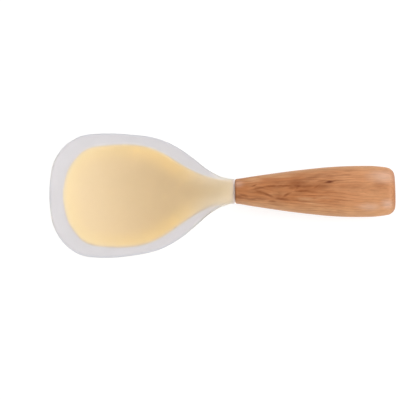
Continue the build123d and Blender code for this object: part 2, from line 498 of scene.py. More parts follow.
@dataclass(frozen=True)
class Relief:
    """Specks that stand up from a surface."""

    specks: Specks
    strength: float
    height: float

    def normal(self, bench: NodeBench, where: Socket | None = None) -> Socket:
        """The normal of the surface with the specks on it.

        Args:
            bench: The material's nodes.
            where: The place that the specks are read at, which is the place on the piece if none is given.

        Returns:
            The normal's socket.
        """
        sockets = {"Height": self.specks.on(bench, where), "Strength": self.strength, "Distance": self.height}
        return bench.add("ShaderNodeBump", sockets).outputs["Normal"]


# Finishes


def rgb(red: int, green: int, blue: int) -> Colour:
    """Mixes a colour by its screen values.

    Args:
        red: Its red, from 0 to 255.
        green: Its green.
        blue: Its blue.

    Returns:
        The colour in linear light.
    """
    shares = (value / 255 for value in (red, green, blue))
    linear = [share / 12.92 if share <= 0.04045 else ((share + 0.055) / 1.055) ** 2.4 for share in shares]
    return (linear[0], linear[1], linear[2], 1.0)


class Finish:
    """The finish of a piece: a material with one Principled shader."""

    name: ClassVar[str]

    def sockets(self, bench: NodeBench) -> Inputs:
        """Adds the finish's nodes to those of its material and gives what the shader's sockets get."""
        raise NotImplementedError

    def material(self) -> bpy.types.Material:
        """Makes the finish's material.

        Returns:
            The material.
        """
        material = bpy.data.materials.new(self.name)
        bench = clear_nodes(material)
        shader = bench.add("ShaderNodeBsdfPrincipled", self.sockets(bench))
        bench.add("ShaderNodeOutputMaterial", {"Surface": shader.outputs["BSDF"]})
        return material


@dataclass(frozen=True)
class FrostedSilicone(Finish):
    """Clear silicone with a frosted skin, greyest at its outer edge and palest over the core, and over the
    collar as painted light.
    """

    name: ClassVar[str] = "frosted_silicone"
    outer_colour: Colour = rgb(219, 220, 229)
    rim_colour: Colour = rgb(226, 223, 225)
    skin_colour: Colour = rgb(250, 247, 243)
    # Paler, warmer tint at the collar: painted light over the shaded wood and steel seen through it
    collar_light_colour: Colour = rgb(254, 240, 236)
    collar_light_span: Span = (0.0056, 0.0070)
    transmission: float = 0.80
    refraction: float = 1.18
    cloud: Specks = Specks(0.012, low=0.96)
    roughness: Specks = Specks(0.0006, low=0.40, high=0.50)
    frost: Relief = Relief(Specks(0.00035), strength=0.12, height=0.00005)
    rim_attribute: str = "free_rim"
    outer_attribute: str = "outer_edge"

    def sockets(self, bench: NodeBench) -> Inputs:
        """Colours the free rim and the skin over the core, and paints light on the collar.

        Args:
            bench: The material's nodes.

        Returns:
            What the shader's sockets get.
        """
        x = bench.along(bench.place())
        free = bench.blend(bench.attribute(self.outer_attribute), self.rim_colour, self.outer_colour)
        # Painted light: the skin turns paler and warmer over the collar
        skin = bench.blend(bench.spread(x, *self.collar_light_span), self.skin_colour, self.collar_light_colour)
        colour = bench.blend(bench.attribute(self.rim_attribute), skin, free)
        return {
            "Base Color": bench.shade(colour, self.cloud.on(bench)),
            "Roughness": self.roughness.on(bench),
            "IOR": self.refraction,
            "Transmission Weight": self.transmission,
            "Normal": self.frost.normal(bench),
        }


@dataclass(frozen=True)
class YellowMoulding(Finish):
    """Matte yellow moulding, palest at its tip and darker into the bowl partly as painted shade, golden along
    the bowl's edge and pale along the neck's.
    """

    name: ClassVar[str] = "yellow_moulding"
    # From tip to bowl the colour darkens: partly painted shade of the dish's slopes
    tip_colour: Colour = rgb(244, 217, 164)
    bowl_colour: Colour = rgb(217, 183, 115)
    neck_colour: Colour = rgb(207, 179, 110)
    tip_edge_colour: Colour = rgb(246, 220, 155)
    bowl_edge_colour: Colour = rgb(250, 211, 117)
    neck_edge_colour: Colour = rgb(230, 206, 163)
    # Pale line at the core's outline: painted light over the shade of its rounded side
    outline_light_colour: Colour = rgb(250, 234, 200)
    bowl_shade_span: Span = (-0.100, -0.030)
    neck_span: Span = (-0.020, 0.004)
    neck_edge_span: Span = (-0.031, -0.008)
    outline_light_span: Span = (0.94, 1.0)
    outline_light_strengths: Span = (0.45, 0.22)
    flow: Specks = Specks(0.004, 4.0, low=0.97)
    roughness: Specks = Specks(0.0008, low=0.45, high=0.6)
    grit: Relief = Relief(Specks(0.0004), strength=0.1, height=0.00004)
    edge_attribute: str = "core_edge"

    def sockets(self, bench: NodeBench) -> Inputs:
        """Colours the middle and the edge along the moulding, darker into the bowl partly as painted shade,
        with a pale line of painted light at its outline.

        Args:
            bench: The material's nodes.

        Returns:
            What the shader's sockets get.
        """
        x = bench.along(bench.place())
        # Partly painted shade: darker from the tip into the bowl
        into_bowl_shade = bench.spread(x, *self.bowl_shade_span)
        bowl = bench.blend(into_bowl_shade, self.tip_colour, self.bowl_colour)
        middle = bench.blend(bench.spread(x, *self.neck_span), bowl, self.neck_colour)
        bowl_edge = bench.blend(into_bowl_shade, self.tip_edge_colour, self.bowl_edge_colour)
        border = bench.blend(bench.spread(x, *self.neck_edge_span), bowl_edge, self.neck_edge_colour)
        edge = bench.attribute(self.edge_attribute)
        strength = bench.spread(x, *self.neck_edge_span, *self.outline_light_strengths)
        # Painted light: a pale line along the core's outline
        pale = bench.math("MULTIPLY", bench.spread(edge, *self.outline_light_span), strength)
        colour = bench.blend(pale, bench.blend(edge, middle, border), self.outline_light_colour)
        return {
            "Base Color": bench.shade(colour, self.flow.on(bench)),
            "Roughness": self.roughness.on(bench),
            "Normal": self.grit.normal(bench),
        }


@dataclass(frozen=True)
class GrainMark:
    """A soft oval streak or patch in the top of the handle's wood, turned about the upright."""

    x: float
    y: float
    half_length: float
    half_width: float
    turn: float
    strength: float

    def shown(self, bench: NodeBench, where: Socket, height: float, depth: float) -> Socket:
        """The mark as a mask, strongest in its middle and 0 past its edge.

        Args:
            bench: The material's nodes.
            where: The place that it is read at.
            height: The height of the wood's top.
            depth: How far below the top it is lost.

        Returns:
            The mask's socket.
        """
        reach = (self.half_length, self.half_width, depth)
        seen = bench.seen_from(where, (self.x, self.y, height), (0.0, 0.0, self.turn), reach)
        return bench.math("MULTIPLY", bench.spread(bench.length(seen), 0.0, 1.0, 1.0, 0.0), self.strength)


# Late wood from the front of the handle to its butt: thin arches and lines, and the broad soft dark places
DARK_MARKS = (
    GrainMark(0.0098, -0.0050, 0.0050, 0.0016, -0.20, 0.60),
    GrainMark(0.0125, -0.0042, 0.0058, 0.0014, -0.36, 0.50),
    GrainMark(0.0172, -0.0068, 0.0070, 0.0012, -0.13, 0.40),
    GrainMark(0.0190, 0.0017, 0.0023, 0.0007, 0.31, 0.85),
    GrainMark(0.0220, -0.0064, 0.0082, 0.0010, -0.08, 0.60),
    GrainMark(0.0222, 0.0000, 0.0070, 0.0012, 0.20, 0.72),
    GrainMark(0.0262, -0.0037, 0.0112, 0.0013, -0.38, 0.75),
    GrainMark(0.0300, -0.0078, 0.0040, 0.0008, -0.06, 0.66),
    GrainMark(0.0300, 0.0011, 0.0085, 0.0015, 0.02, 0.74),
    GrainMark(0.0330, -0.0095, 0.0075, 0.0011, -0.13, 0.38),
    GrainMark(0.0330, 0.0002, 0.0085, 0.0017, 0.00, 0.38),
    GrainMark(0.0335, -0.0046, 0.0055, 0.0015, -0.15, 0.42),
    GrainMark(0.0340, 0.0033, 0.0065, 0.0016, 0.05, 0.32),
    GrainMark(0.0358, -0.0065, 0.0068, 0.0013, -0.17, 0.84),
    GrainMark(0.0375, 0.0012, 0.0130, 0.0011, -0.01, 0.82),
    GrainMark(0.0385, -0.0043, 0.0056, 0.0012, 0.42, 0.74),
    GrainMark(0.0430, 0.0003, 0.0060, 0.0020, 0.02, 0.55),
    GrainMark(0.0455, 0.0011, 0.0050, 0.0016, 0.00, 0.80),
    GrainMark(0.0455, 0.0028, 0.0105, 0.0038, 0.06, 0.56),
    GrainMark(0.0480, -0.0022, 0.0080, 0.0012, 0.05, 0.75),
    GrainMark(0.0500, 0.0010, 0.0110, 0.0030, -0.05, 0.50),
    GrainMark(0.0505, -0.0086, 0.0120, 0.0007, -0.12, 0.40),
    GrainMark(0.0522, 0.0048, 0.0060, 0.0014, 0.12, 0.32),
    GrainMark(0.0535, 0.0063, 0.0105, 0.0015, 0.16, 0.48),
    GrainMark(0.0545, -0.0026, 0.0060, 0.0018, -0.03, 0.32),
    GrainMark(0.0550, -0.0110, 0.0110, 0.0007, -0.13, 0.22),
    GrainMark(0.0560, -0.0052, 0.0100, 0.0008, -0.04, 0.45),
    GrainMark(0.0568, 0.0005, 0.0055, 0.0013, 0.50, 0.65),
    GrainMark(0.0595, 0.0040, 0.0060, 0.0013, 0.12, 0.42),
    GrainMark(0.0595, 0.0086, 0.0075, 0.0013, 0.08, 0.32),
    GrainMark(0.0600, 0.0007, 0.0105, 0.0032, 0.13, 0.48),
    GrainMark(0.0620, 0.0028, 0.0065, 0.0014, 0.05, 0.36),
    GrainMark(0.0620, 0.0004, 0.0065, 0.0013, 0.00, 0.34),
    GrainMark(0.0655, 0.0073, 0.0070, 0.0014, 0.04, 0.34),
    GrainMark(0.0670, -0.0141, 0.0095, 0.0009, -0.04, 0.30),
    GrainMark(0.0735, 0.0082, 0.0070, 0.0008, 0.03, 0.45),
    GrainMark(0.0735, -0.0079, 0.0090, 0.0006, -0.03, 0.40),
    GrainMark(0.0775, 0.0112, 0.0080, 0.0013, 0.02, 0.30),
    GrainMark(0.0790, -0.0002, 0.0170, 0.0028, 0.02, 0.28),
    GrainMark(0.0930, -0.0020, 0.0085, 0.0016, 0.00, 0.26),
    GrainMark(0.0952, 0.0008, 0.0078, 0.0034, -0.05, 0.40),
)
# Paler wood between the lines, and painted light along the flanks
PALE_WOOD_AND_LIGHT_MARKS = (
    GrainMark(0.0185, 0.0060, 0.0095, 0.0018, 0.17, 0.75),
    GrainMark(0.0202, 0.0047, 0.0065, 0.0014, 0.15, 0.50),
    GrainMark(0.0220, -0.0092, 0.0105, 0.0011, -0.14, 0.20),
    GrainMark(0.0280, 0.0078, 0.0135, 0.0016, 0.14, 0.70),
    GrainMark(0.0375, 0.0074, 0.0120, 0.0017, 0.06, 0.62),
    GrainMark(0.0500, -0.0068, 0.0085, 0.0017, -0.06, 0.60),
    GrainMark(0.0540, -0.0096, 0.0100, 0.0010, -0.13, 0.50),
    GrainMark(0.0605, 0.0131, 0.0140, 0.0018, 0.03, 0.35),
    GrainMark(0.0612, -0.0062, 0.0075, 0.0015, -0.03, 0.42),
    GrainMark(0.0620, -0.0125, 0.0150, 0.0008, -0.08, 0.60),
)
# Painted sheen, highlights laid into the colour: the front edge, the upper flank and both corners of the butt
PAINTED_SHEEN_MARKS = (
    GrainMark(0.0094, 0.0030, 0.0055, 0.0036, 0.00, 0.38),
    GrainMark(0.0340, 0.0104, 0.0230, 0.0022, 0.07, 0.25),
    GrainMark(0.0892, -0.0118, 0.0120, 0.0034, -0.03, 0.52),
    GrainMark(0.0980, 0.0070, 0.0145, 0.0074, -0.07, 0.58),
    GrainMark(0.1000, -0.0104, 0.0070, 0.0046, 0.01, 0.72),
)


@dataclass(frozen=True)
class CherryWood(Finish):
    """Satin cherry wood, cut so that the year rings draw long arches on the top and lines on the sides."""

    name: ClassVar[str] = "cherry_wood"
    front: Colour = rgb(185, 119, 73)
    back: Colour = rgb(207, 145, 100)
    # Paler tone: random clouds and pale marks, and painted light on the flanks
    flank: Colour = rgb(216, 162, 116)
    # Colour of the painted sheen
    light: Colour = rgb(218, 181, 161)
    late: Colour = rgb(118, 56, 18)
    gum: Colour = rgb(92, 30, 2)
    back_span: Span = (0.048, 0.092)
    taper_span: Span = (-0.010, 0.085)
    taper: Span = (0.0074, 0.0160)
    mean_reach: float = 0.012
    # Paler towards both flanks: side grain, and painted light on the flanks
    side_grain_and_light_span: Span = (0.55, 1.0)
    side_grain_and_light_strength: float = 0.75
    top_height: float = 0.0200
    mark_depth: float = 0.0120
    # Darker towards the butt: end grain with its rings, and painted shade on the butt's rounding
    end_grain_and_shade_span: Span = (0.1010, 0.1047)
    end_shade: Span = (0.38, 0.80)
    waver: Place = (0.0022, 0.0011, 0.0)
    wavers_per_metre: float = 260.0
    waver_detail: float = 2.0
    noise_middle: Place = (0.5, 0.5, 0.5)
    ring_width: float = 0.0016
    ring_stops: Rows = ((0.0, 0.0), (0.45, 0.15), (0.80, 0.55), (0.93, 1.0), (1.0, 0.05))
    ring_sway: Specks = Specks(0.012, 3.0, low=-0.60, high=0.60)
    ring_shiver: Specks = Specks(0.0022, 7.0, low=-0.15, high=0.15)
    ring_strength: Specks = Specks(0.006, 3.0, high=0.55)
    ring_fade_span: Span = (0.072, 0.094)
    ring_fade: Span = (1.0, 0.35)
    pith: Place = (0.0105, 0.0005, 0.0282)
    pith_tilt: Place = (0.0, 0.067, -0.04)
    across_tree: Place = (0.0, 1.0, 1.0)
    cloud: Specks = Specks(0.0045, 3.5, low=-0.10, high=0.38)
    streak_breaks: Specks = Specks(0.0012, 3.0, low=0.72, high=1.12)
    broad_fibres: Specks = Specks(0.0016, 8.0, low=0.91, high=1.06)
    fine_fibres: Specks = Specks(0.0006, 12.0, low=0.88, high=1.09)
    pores: Relief = Relief(Specks(0.00028, 30.0), strength=0.25, height=0.00006)
    roughness: Specks = Specks(0.0006, 12.0, low=0.40, high=0.55)
    specular: float = 0.20
    coat: float = 0.04
    coat_roughness: float = 0.35
    gum_mark: GrainMark = GrainMark(0.0652, 0.0035, 0.0046, 0.0012, 0.12, 1.0)

    def follow_taper(self, bench: NodeBench, place: Socket) -> tuple[Socket, Socket]:
        """The place drawn out across the handle where it is narrow, so that the fibres run with its sides.

        Args:
            bench: The material's nodes.
            place: The place on the handle.

        Returns:
            The drawn out place, and the share of the way from the middle to the side.
        """
        parts = bench.add("ShaderNodeSeparateXYZ", {"Vector": place}).outputs
        reach = bench.spread(parts["X"], *self.taper_span, *self.taper)
        share = bench.math("DIVIDE", parts["Y"], reach)
        across = bench.math("MULTIPLY", share, self.mean_reach)
        drawn = bench.add("ShaderNodeCombineXYZ", {"X": parts["X"], "Y": across, "Z": parts["Z"]})
        return drawn.outputs["Vector"], bench.math("ABSOLUTE", share)

    def wavering(self, bench: NodeBench, place: Socket) -> Socket:
        """The place pushed about a little, which makes the marks uneven.

        Args:
            bench: The material's nodes.
            place: The place on the handle.

        Returns:
            The pushed place's socket.
        """
        sockets = {"Vector": place, "Scale": self.wavers_per_metre, "Detail": self.waver_detail}
        noise = bench.add("ShaderNodeTexNoise", sockets).outputs["Color"]
        push = bench.vector("MULTIPLY", bench.vector("SUBTRACT", noise, self.noise_middle), self.waver)
        return bench.vector("ADD", place, push)

    def strongest(self, bench: NodeBench, where: Socket, marks: tuple[GrainMark, ...]) -> Input:
        """The strongest of some marks at each place.

        Args:
            bench: The material's nodes.
            where: The place that they are read at.
            marks: The marks.

        Returns:
            The mask's socket.
        """
        mask: Input = 0.0
        for mark in marks:
            mask = bench.math("MAXIMUM", mask, mark.shown(bench, where, self.top_height, self.mark_depth))
        return mask

    def late_wood(self, bench: NodeBench, place: Socket) -> Socket:
        """How much of the dark late wood of the year rings shows.

        Args:
            bench: The material's nodes.
            place: The place on the handle.

        Returns:
            The mask's socket, up to the greatest strength of a ring.
        """
        in_tree = bench.seen_from(place, self.pith, self.pith_tilt)
        from_pith = bench.length(bench.vector("MULTIPLY", in_tree, self.across_tree))
        rings = bench.math("DIVIDE", from_pith, self.ring_width)
        swayed = bench.math("ADD", rings, self.ring_sway.on(bench))
        phase = bench.math("FRACT", bench.math("ADD", swayed, self.ring_shiver.on(bench)))
        return bench.math("MULTIPLY", bench.grey_ramp(phase, self.ring_stops), self.ring_strength.on(bench))

    def sockets(self, bench: NodeBench) -> Inputs:
        """Lays the rings, the marks, the painted sheen, the fibres and the end grain over the wood's colours,
        with painted light on the flanks and painted shade at the butt.

        Args:
            bench: The material's nodes.

        Returns:
            What the shader's sockets get.
        """
        place = bench.place()
        x = bench.along(place)
        grain, share = self.follow_taper(bench, place)
        uneven = self.wavering(bench, place)
        rings = self.late_wood(bench, place)
        wood = bench.blend(bench.spread(x, *self.back_span), self.front, self.back)
        # Paler towards both flanks: side grain, and painted light on the flanks
        side = bench.math("MULTIPLY", bench.spread(share, *self.side_grain_and_light_span), self.side_grain_and_light_strength)
        clouded = bench.blend(self.cloud.on(bench, grain), bench.blend(side, wood, self.flank), self.flank)
        fading = bench.spread(x, *self.ring_fade_span, *self.ring_fade)
        ringed = bench.blend(bench.math("MULTIPLY", rings, fading), clouded, self.late)
        # Pale marks: paler wood, and painted light along the flanks
        paler_wood_and_light = bench.blend(self.strongest(bench, uneven, PALE_WOOD_AND_LIGHT_MARKS), ringed, self.flank)
        # Painted highlights: the sheen marks lighten the wood
        lit = bench.blend(self.strongest(bench, uneven, PAINTED_SHEEN_MARKS), paler_wood_and_light, self.light)
        breaks = self.streak_breaks.on(bench, grain)
        dark = bench.math("MULTIPLY", self.strongest(bench, uneven, DARK_MARKS), breaks)
        marked = bench.blend(dark, lit, self.late)
        fibre = bench.math("MULTIPLY", self.broad_fibres.on(bench, grain), self.fine_fibres.on(bench, grain))
        gum = self.gum_mark.shown(bench, uneven, self.top_height, self.mark_depth)
        gummed = bench.blend(gum, bench.shade(marked, fibre), self.gum)
        # Darker at the butt: end grain with its rings, and painted shade on the butt's rounding
        end_shade = bench.spread(rings, self.ring_strength.low, self.ring_strength.high, *self.end_shade)
        end_grain_and_shade = bench.math("MULTIPLY", bench.spread(x, *self.end_grain_and_shade_span), end_shade)
        return {
            "Base Color": bench.blend(end_grain_and_shade, gummed, self.late),
            "Roughness": self.roughness.on(bench),
            "Specular IOR Level": self.specular,
            "Coat Weight": self.coat,
            "Coat Roughness": self.coat_roughness,
            "Normal": self.pores.normal(bench, grain),
        }


@dataclass(frozen=True)
class StampedSteel(Finish):
    """Stainless sheet brushed along the paddle."""

    name: ClassVar[str] = "stamped_steel"
    colour: Colour = rgb(236, 233, 230)
    brushing: Specks = Specks(0.0002, 60.0, low=0.88)
    roughness: Specks = Specks(0.0003, 40.0, low=0.28, high=0.45)

    def sockets(self, bench: NodeBench) -> Inputs:
        """Brushes the sheet.

        Args:
            bench: The material's nodes.

        Returns:
            What the shader's sockets get.
        """
        return {
            "Base Color": bench.shade(self.colour, self.brushing.on(bench)),
            "Metallic": 1.0,
            "Roughness": self.roughness.on(bench),
        }


@dataclass(frozen=True)
class CuredEpoxy(Finish):
    """Amber glue with small cloudy places."""

    name: ClassVar[str] = "cured_epoxy"
    clear: Colour = rgb(206, 178, 118)
    cloudy: Colour = rgb(224, 204, 156)
    cloud: Specks = Specks(0.002)
    roughness: Specks = Specks(0.001, low=0.2, high=0.35)

    def sockets(self, bench: NodeBench) -> Inputs:
        """Clouds the glue."""
        colour = bench.blend(self.cloud.on(bench), self.clear, self.cloudy)
        return {"Base Color": colour, "Roughness": self.roughness.on(bench)}


# The blade


# A cubic curve with level ends rises to this share of its control points' height
CURVE_PEAK = 0.75


@dataclass(frozen=True)
class BladeForm:
    """The sizes of the blade and neck, and the levels of its upright sections."""

    tip_x: float
    length: float = 0.1127
    width: float = 0.0784
    rim_thickness: float = 0.0030
    bowl_thickness: float = 0.0052
    dish_depth: float = 0.0052
    tip_lift: float = 0.0058
    neck_lift: float = 0.0052
    neck_width: float = 0.0146
    neck_height: float = 0.0124
    neck_side_height: float = 0.0070
    neck_side_rounding: float = 0.0010
    collar_length: float = 0.0013
    skin_thickness: float = 0.0009
    core_edge_rounding: float = 0.0007
    side_rim_width: float = 0.0065
    tip_rim_width: float = 0.0078
    dish_reach: float = 1 / 3
    neck_reach: float = 0.60
    outline_steps: int = 3
    arch_steps: int = 48
    side_steps: int = 8
    ring_steps: int = 5

    @property
    def core_tip_x(self) -> float:
        """Where the core starts."""
        return self.tip_x + self.tip_rim_width

    @property
    def core_length(self) -> float:
        """The core's length, up to the clear collar."""
        return self.length - self.tip_rim_width - self.collar_length

    def reach(self, crown: float) -> float:
        """The reach of an arch's control points, by the share of the way to the neck's crown."""
        return between(self.dish_reach, self.neck_reach, crown)

    def half_width(self, station: float) -> float:
        """Half the silicone's width at a share of its length."""
        blade, neck = read_shares(OUTLINE_SHARES, station)
        return (blade * self.width + neck * self.neck_width) / 2

    def levels(self, station: float) -> tuple[float, Vector, Vector]:
        """A section of the silicone.

        Args:
            station: The share of the blade's length.

        Returns:
            Its share of the way to the neck's crown, and its top and bottom, each as the heights of the rim
            and of the centre.
        """
        tip_rise, neck_rise = read_shares(LIFT_SHARES, station)
        hollow, bowl_build = read_shares(HOLLOW_SHARES, station)
        crown, neck_build = read_shares(NECK_SHARES, station)
        low = self.dish_depth + self.bowl_thickness - self.rim_thickness / 2
        middle = low + tip_rise * self.tip_lift + neck_rise * self.neck_lift
        half_side = between(self.rim_thickness, self.neck_side_height, crown) / 2
        rise = crown * (self.neck_height - self.neck_side_height) / 2 - hollow * self.dish_depth
        bowl = between(self.rim_thickness, self.bowl_thickness, bowl_build)
        thickness = bowl + neck_build * (self.neck_height - self.bowl_thickness)
        centre_top = middle + half_side + rise
        top = Vector((middle + half_side, centre_top))
        bottom = Vector((middle - half_side, centre_top - thickness))
        return crown, top, bottom

    def core_half_width(self, share: float) -> float:
        """Half the core's width.

        Args:
            share: The share of its length.

        Returns:
            The half width.
        """
        core, neck = read_shares(CORE_OUTLINE_SHARES, share)
        core_width = self.width - 2 * self.side_rim_width
        neck_width = self.neck_width - 2 * self.skin_thickness
        return (core * core_width + neck * neck_width) / 2

    def ring(self, half_width: float, side: float, reach: float, top: Vector, bottom: Vector) -> Outline:
        """A ring of two arches, the top and the bottom, with round sides between them.

        Args:
            half_width: Half its width.
            side: How wide its round side is.
            reach: The reach of the arches' control points.
            top: The heights of the rim and of the centre of its top.
            bottom: The same for its bottom.

        Returns:
            Its points in y and z.
        """
        flat = half_width - side
        out = flat + side / CURVE_PEAK
        points: Outline = []
        for sign, near, far in ((1, top, bottom), (-1, bottom, top)):
            level = between(near[0], near[1], 1 / CURVE_PEAK)
            start, end = -sign * flat, sign * flat
            arch = [(start, near[0]), (start * reach, level), (end * reach, level), (end, near[0])]
            round_side = [(end, near[0]), (sign * out, near[0]), (sign * out, far[0]), (end, far[0])]
            points += curve_points(arch, self.arch_steps) + curve_points(round_side, self.side_steps)
        return points

    def pinched(self, top: Vector, bottom: Vector, share: float) -> tuple[Vector, Vector]:
        """A section's top and bottom drawn together to a share of their distance."""
        middle, half = (top + bottom) / 2, (top - bottom) / 2 * share
        return middle + half, middle - half

    def silicone_ring(self, station: float) -> Outline:
        """The ring of the silicone.

        Args:
            station: The share of the blade's length.

        Returns:
            Its points in y and z.
        """
        crown, top, bottom = self.levels(station)
        edge, stretch = read_shares(EDGE_SHARES, station)
        side = stretch * between(self.rim_thickness / 2, self.neck_side_rounding, crown)
        top, bottom = self.pinched(top, bottom, edge)
        return self.ring(self.half_width(station), side, self.reach(crown), top, bottom)

    def core_ring(self, share: float) -> Outline:
        """The ring of the core, everywhere under the silicone's skin.

        Args:
            share: The share of the core's length.

        Returns:
            Its points in y and z.
        """
        station = (self.core_tip_x + share * self.core_length - self.tip_x) / self.length
        crown, outer_top, outer_bottom = self.levels(station)
        half_width = self.core_half_width(share)
        edge, stretch = read_shares(EDGE_SHARES, share)
        rise = 1 - (half_width / self.half_width(station)) ** 2
        skin = Vector((self.skin_thickness, self.skin_thickness))
        top = Vector((between(outer_top[0], outer_top[1], rise), outer_top[1])) - skin
        bottom = Vector((between(outer_bottom[0], outer_bottom[1], rise), outer_bottom[1])) + skin
        top, bottom = self.pinched(top, bottom, edge)
        return self.ring(half_width, stretch * self.core_edge_rounding, self.reach(crown), top, bottom)

    def outside_core(self, place: Vector) -> float:
        """How far a place is outside the core's outline seen from above.

        Args:
            place: The place.

        Returns:
            The distance, below zero inside the outline.
        """
        share = (place.x - self.core_tip_x) / self.core_length
        spot = Vector((place.x, abs(place.y)))
        gaps = []
        for start, end in pairwise(self.core_outline):
            foot, part = intersect_point_line(spot, start, end)
            foot = foot if 0 < part < 1 else (start if part <= 0 else end)
            gaps.append((spot - foot).length)
        inside = 0 < share < 1 and spot.y < self.core_half_width(share)
        return -min(gaps) if inside else min(gaps)

    def inside_outline(self, place: Vector) -> float:
        """How far a place is inside the silicone's outline seen from above, across or along the paddle.

        Args:
            place: The place.

        Returns:
            The shorter of both distances.
        """
        from_tip = max(place.x - self.tip_x, 0.0)
        half_width = self.half_width(min(from_tip / self.length, 1.0))
        return min(half_width - abs(place.y), from_tip)

    @cached_property
    def core_outline(self) -> list[Vector]:
        """One half of the core's outline.

        Returns:
            Places along it, from the middle of its tip to the middle of its end.
        """
        edge = [
            Vector((self.core_tip_x + share * self.core_length, self.core_half_width(share)))
            for share in stations(CORE_OUTLINE_SHARES, self.outline_steps)
        ]
        return [Vector((edge[0].x, 0.0)), *edge, Vector((edge[-1].x, 0.0))]


def store(piece: bpy.types.Object, name: str, read: Callable[[Vector], float]) -> None:
    """Stores a value at every point of a piece, for its material.

    Args:
        piece: The piece.
        name: The value's name.
        read: What gives the value at a place.
    """
    values = piece.data.attributes.new(name, "FLOAT", "POINT")
    for vert in piece.data.vertices:
        values.data[vert.index].value = read(vert.co)


@dataclass
class Blade:
    """The silicone blade and the yellow core inside it."""

    form: BladeForm
    silicone: FrostedSilicone = field(default_factory=FrostedSilicone)
    moulding: YellowMoulding = field(default_factory=YellowMoulding)
    rim_blend: Span = (-0.0010, 0.0004)
    rim_end: Span = (-0.010, 0.002)
    outer_span: Span = (0.0001, 0.0012)
    edge_blend: Span = (-0.0130, -0.0005)

    def free_rim(self, place: Vector) -> float:
        """How far a place is out in the free rim, from 0 over the core and at the handle to 1."""
        out = smooth_step(*self.rim_blend, self.form.outside_core(place))
        return out * (1 - smooth_step(*self.rim_end, place.x))

    def outer_edge(self, place: Vector) -> float:
        """How near a place is to the silicone's outline, 1 at the outline itself."""
        return 1 - smooth_step(*self.outer_span, self.form.inside_outline(place))

    def core_edge(self, place: Vector) -> float:
        """How near a place is to the core's outline from inside, 1 at the outline itself."""
        return smooth_step(*self.edge_blend, self.form.outside_core(place))

    def build_skin(self) -> bpy.types.Object:
        """Builds the clear silicone moulding.

        Returns:
            The piece.
        """
        loft = RingLoft("silicone_blade")
        for station in stations(OUTLINE_SHARES, self.form.ring_steps):
            loft.add_ring(self.form.tip_x + station * self.form.length, self.form.silicone_ring(station))
        piece = loft.finish()
        store(piece, self.silicone.rim_attribute, self.free_rim)
        store(piece, self.silicone.outer_attribute, self.outer_edge)
        piece.data.materials.append(self.silicone.material())
        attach(piece, BODY)
        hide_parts("silicone_skin")
        return piece

    def build_core(self) -> bpy.types.Object:
        """Builds the yellow moulding under the silicone.

        Returns:
            The piece.
        """
        loft = RingLoft("yellow_core")
        for share in stations(CORE_OUTLINE_SHARES, self.form.ring_steps):
            loft.add_ring(self.form.core_tip_x + share * self.form.core_length, self.form.core_ring(share))
        piece = loft.finish()
        store(piece, self.moulding.edge_attribute, self.core_edge)
        piece.data.materials.append(self.moulding.material())
        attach(piece, BODY)
        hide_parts("blade_core")
        return piece


# The handle


@dataclass
class Handle:
    """The flared wooden handle with its rounded butt and its softened front edge."""

    front_x: float
    length: float = 0.0973
    front_width: float = 0.0148
    front_height: float = 0.0126
    axis_height: float = 0.0141
    width: float = 0.0318
    thickness: float = 0.0200
    butt_rounding: float = 0.0045
    front_rounding: float = 0.0011
    front_fullness: float = 0.74
    grip_fullness: float = 0.60
    body_steps: int = 3
    rounding_steps: int = 7
    quarter_steps: int = 14
    wood: CherryWood = field(default_factory=CherryWood)

    def ring(self, station: float, inset: float) -> Outline:
        """An oval ring of the handle.

        Args:
            station: The share of its length.
            inset: How far the ring is drawn in from the full section.

        Returns:
            Its points in y and z.
        """
        widening, thickening, lift = read_shares(HANDLE_SHARES, station)
        half_width = between(self.front_width, self.width, widening) / 2 - inset
        full_height = between(self.front_height, self.thickness, thickening) / 2
        half_height = full_height - inset
        middle = full_height + lift * (self.axis_height - self.front_height / 2)
        fullness = between(self.front_fullness, self.grip_fullness, widening)
        points: Outline = []
        for turn in range(4):
            across, up = (half_width, half_height) if turn % 2 == 0 else (half_height, half_width)
            quarter = [(across, 0.0), (across, up * fullness), (across * fullness, up), (0.0, up)]
            spin = Matrix.Rotation(math.radians(90 * turn), 2)
            for point in curve_points(quarter, self.quarter_steps):
                y, z = spin @ Vector(point)
                points.append((y, middle + z))
        return points

    def end_round(self, radius: float) -> list[tuple[float, float]]:
        """The rings of one rounded end.

        Args:
            radius: The radius of its rounding.

        Returns:
            Each ring's share of the handle's length from that end, and its inset.
        """
        angles = [math.radians(90) * step / self.rounding_steps for step in range(self.rounding_steps + 1)]
        return [
            (radius * (1 - math.cos(angle)) / self.length, radius * (1 - math.sin(angle))) for angle in angles
        ]

    def ring_places(self) -> list[tuple[float, float]]:
        """Where the rings stand, from the softened front edge to the rounded butt.

        Returns:
            Each ring's station and inset.
        """
        front = self.end_round(self.front_rounding)
        butt = [(1 - share, inset) for share, inset in reversed(self.end_round(self.butt_rounding))]
        gap = self.front_rounding / self.length / 2
        inner = (front[-1][0] + gap, butt[0][0] - gap)
        shares = stations(HANDLE_SHARES, self.body_steps)
        body = [(share, 0.0) for share in shares if inner[0] < share < inner[1]]
        return [*front, *body, *butt]

    def build(self) -> bpy.types.Object:
        """Builds the handle.

        Returns:
            The piece.
        """
        loft = RingLoft("cherry_handle")
        for station, inset in self.ring_places():
            loft.add_ring(self.front_x + station * self.length, self.ring(station, inset))
        piece = loft.finish()
        piece.data.materials.append(self.wood.material())
        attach(piece, BODY)
        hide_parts("handle")
        return piece


# What stays as the CAD node


